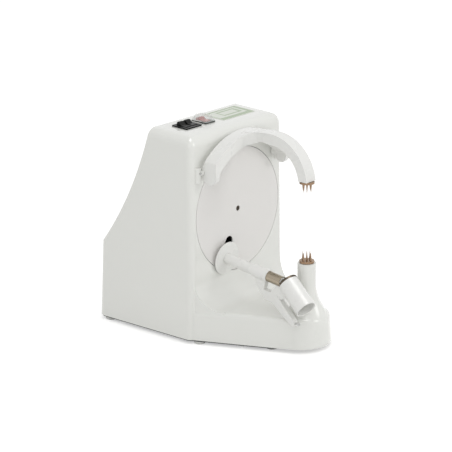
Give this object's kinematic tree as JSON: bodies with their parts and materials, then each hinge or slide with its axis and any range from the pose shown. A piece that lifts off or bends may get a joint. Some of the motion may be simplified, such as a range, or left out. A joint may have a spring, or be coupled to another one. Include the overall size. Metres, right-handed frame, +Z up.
{
  "type": "electric potato peeler",
  "caption": "Electric peeler: a spindle turns the fruit or potato while a turntable carries a spring-loaded peeling arm round it, under a hinged curved arm.",
  "frame": {"origin": "centre of the footprint, on the table the feet stand on", "axes": "+X to the machine's left-hand seen from behind it, which is the right-hand side seen from the front, -Y the front with the turntable, +Z up"},
  "size_m": [0.204, 0.3452, 0.3101],
  "materials": {
    "shell_white": "glossy moulded",
    "disc_white": "glossy moulded",
    "arm_white": "glossy moulded",
    "inner_white": "moulded",
    "plate_dark": "fine grain",
    "foot_rubber": "matt",
    "switch_black": "fine grain",
    "frame_white": "moulded",
    "rocker_red": "moulded",
    "cover_clear": "clear moulded plastic",
    "label_green": "printed film, left bare",
    "screw_zinc": "zinc plated",
    "board_green": "coated board",
    "sheet_steel": "galvanised sheet",
    "bearing_metal": "sintered bronze",
    "sensor_black": "moulded",
    "shaft_steel": "turned",
    "gear_nylon": "moulded nylon",
    "pinion_brass": "machined",
    "case_zinc": "die cast",
    "motor_grey": "painted",
    "stainless": "polished stainless",
    "holder_steel": "stainless",
    "belt_rubber": "matt"
  },
  "bodies": {
    "housing": {"main_housing": "shell_white", "base_plate": "plate_dark", "rubber_feet": "foot_rubber", "base_screws": "screw_zinc", "power_inlet": "switch_black", "control_label": "label_green", "power_switch_frame": "frame_white", "splash_cover": "cover_clear", "double_switch_frame": "switch_black", "circuit_board": "board_green", "chassis_plate": "sheet_steel", "chassis_screws": "screw_zinc", "turntable_bearing": "bearing_metal", "limit_switch": "sensor_black", "gearbox": "case_zinc", "turntable_motor": "motor_grey", "hinge_pins": "shaft_steel", "spindle_top_bush": "bearing_metal", "spindle_lower_bush": "bearing_metal", "drive_belt": "belt_rubber", "spindle_motor": "motor_grey", "motor_bracket": "sheet_steel"},
    "turntable": {"turntable_disc": "disc_white", "centre_screw": "screw_zinc", "turntable_shaft": "shaft_steel", "turntable_gear": "gear_nylon", "gear_screw": "screw_zinc", "arm_bracket": "sheet_steel", "arm_pivot_pin": "shaft_steel", "arm_spring": "shaft_steel"},
    "pinion": {"drive_pinion": "pinion_brass"},
    "blade_arm": {"arm_pivot_block": "inner_white", "arm_tube": "arm_white", "arm_flange": "arm_white", "pivot_sleeve": "stainless"},
    "head": {"blade_head": "arm_white", "ring_blade": "stainless", "blade_screw": "screw_zinc"},
    "fruit_arm": {"upper_arm": "arm_white", "upper_bush": "bearing_metal"},
    "top_holder": {"upper_holder": "holder_steel", "upper_shaft": "shaft_steel", "retaining_ring": "shaft_steel"},
    "spindle": {"lower_holder": "holder_steel", "spindle_shaft": "shaft_steel", "spindle_pulley": "gear_nylon"},
    "motor_drive": {"motor_pulley": "gear_nylon"},
    "power_key": {"power_rocker": "rocker_red"},
    "left_key": {"left_rocker": "switch_black"},
    "right_key": {"right_rocker": "switch_black"}
  },
  "joints": [
    {"name": "turntable_spin", "type": "hinge", "parent": "housing", "child": "turntable", "pos_m": [0, -0.00839, 0.177], "axis": [0, 1, 0], "range_deg": [0, 120]},
    {"name": "pinion_spin", "type": "hinge", "parent": "housing", "child": "pinion", "pos_m": [0.05625, -0.00839, 0.177], "axis": [0, 1, 0], "range_deg": [-480, 0]},
    {"name": "arm_lift", "type": "hinge", "parent": "turntable", "child": "blade_arm", "pos_m": [-0.031, 0.03361, 0.11794], "axis": [-1, 0, 0], "range_deg": [0, 10], "stiffness_Nm_per_rad": 0.08, "springref_deg": -20.05},
    {"name": "head_swing", "type": "hinge", "parent": "blade_arm", "child": "head", "pos_m": [-0.031, -0.06839, 0.10397], "axis": [0, 0.9907, 0.1357], "range_deg": [0, 12], "stiffness_Nm_per_rad": 0.2, "springref_deg": -20.05},
    {"name": "upper_arm_lift", "type": "hinge", "parent": "housing", "child": "fruit_arm", "pos_m": [0, -0.01339, 0.247], "axis": [-1, 0, 0], "range_deg": [-12, 7]},
    {"name": "top_holder_turn", "type": "hinge", "parent": "fruit_arm", "child": "top_holder", "pos_m": [0, -0.13239, 0.239], "axis": [0, 0, 1], "continuous": true},
    {"name": "spindle_turn", "type": "hinge", "parent": "housing", "child": "spindle", "pos_m": [0, -0.13239, 0.066], "axis": [0, 0, 1], "continuous": true},
    {"name": "motor_turn", "type": "hinge", "parent": "housing", "child": "motor_drive", "pos_m": [0, 0.09161, 0.026], "axis": [0, 0, 1], "continuous": true},
    {"name": "power_press", "type": "hinge", "parent": "housing", "child": "power_key", "pos_m": [-0.0177, 0.03921, 0.29957], "axis": [-1, 0, 0], "range_deg": [0, 12]},
    {"name": "left_press", "type": "hinge", "parent": "housing", "child": "left_key", "pos_m": [-0.05917, 0.03921, 0.29957], "axis": [-1, 0, 0], "range_deg": [0, 12]},
    {"name": "right_press", "type": "hinge", "parent": "housing", "child": "right_key", "pos_m": [-0.04562, 0.03921, 0.29957], "axis": [-1, 0, 0], "range_deg": [0, 12]}
  ],
  "couplings": [
    {"joint": "pinion_spin", "follows": "turntable_spin", "ratio": -4},
    {"joint": "motor_turn", "follows": "spindle_turn", "ratio": 2}
  ]
}
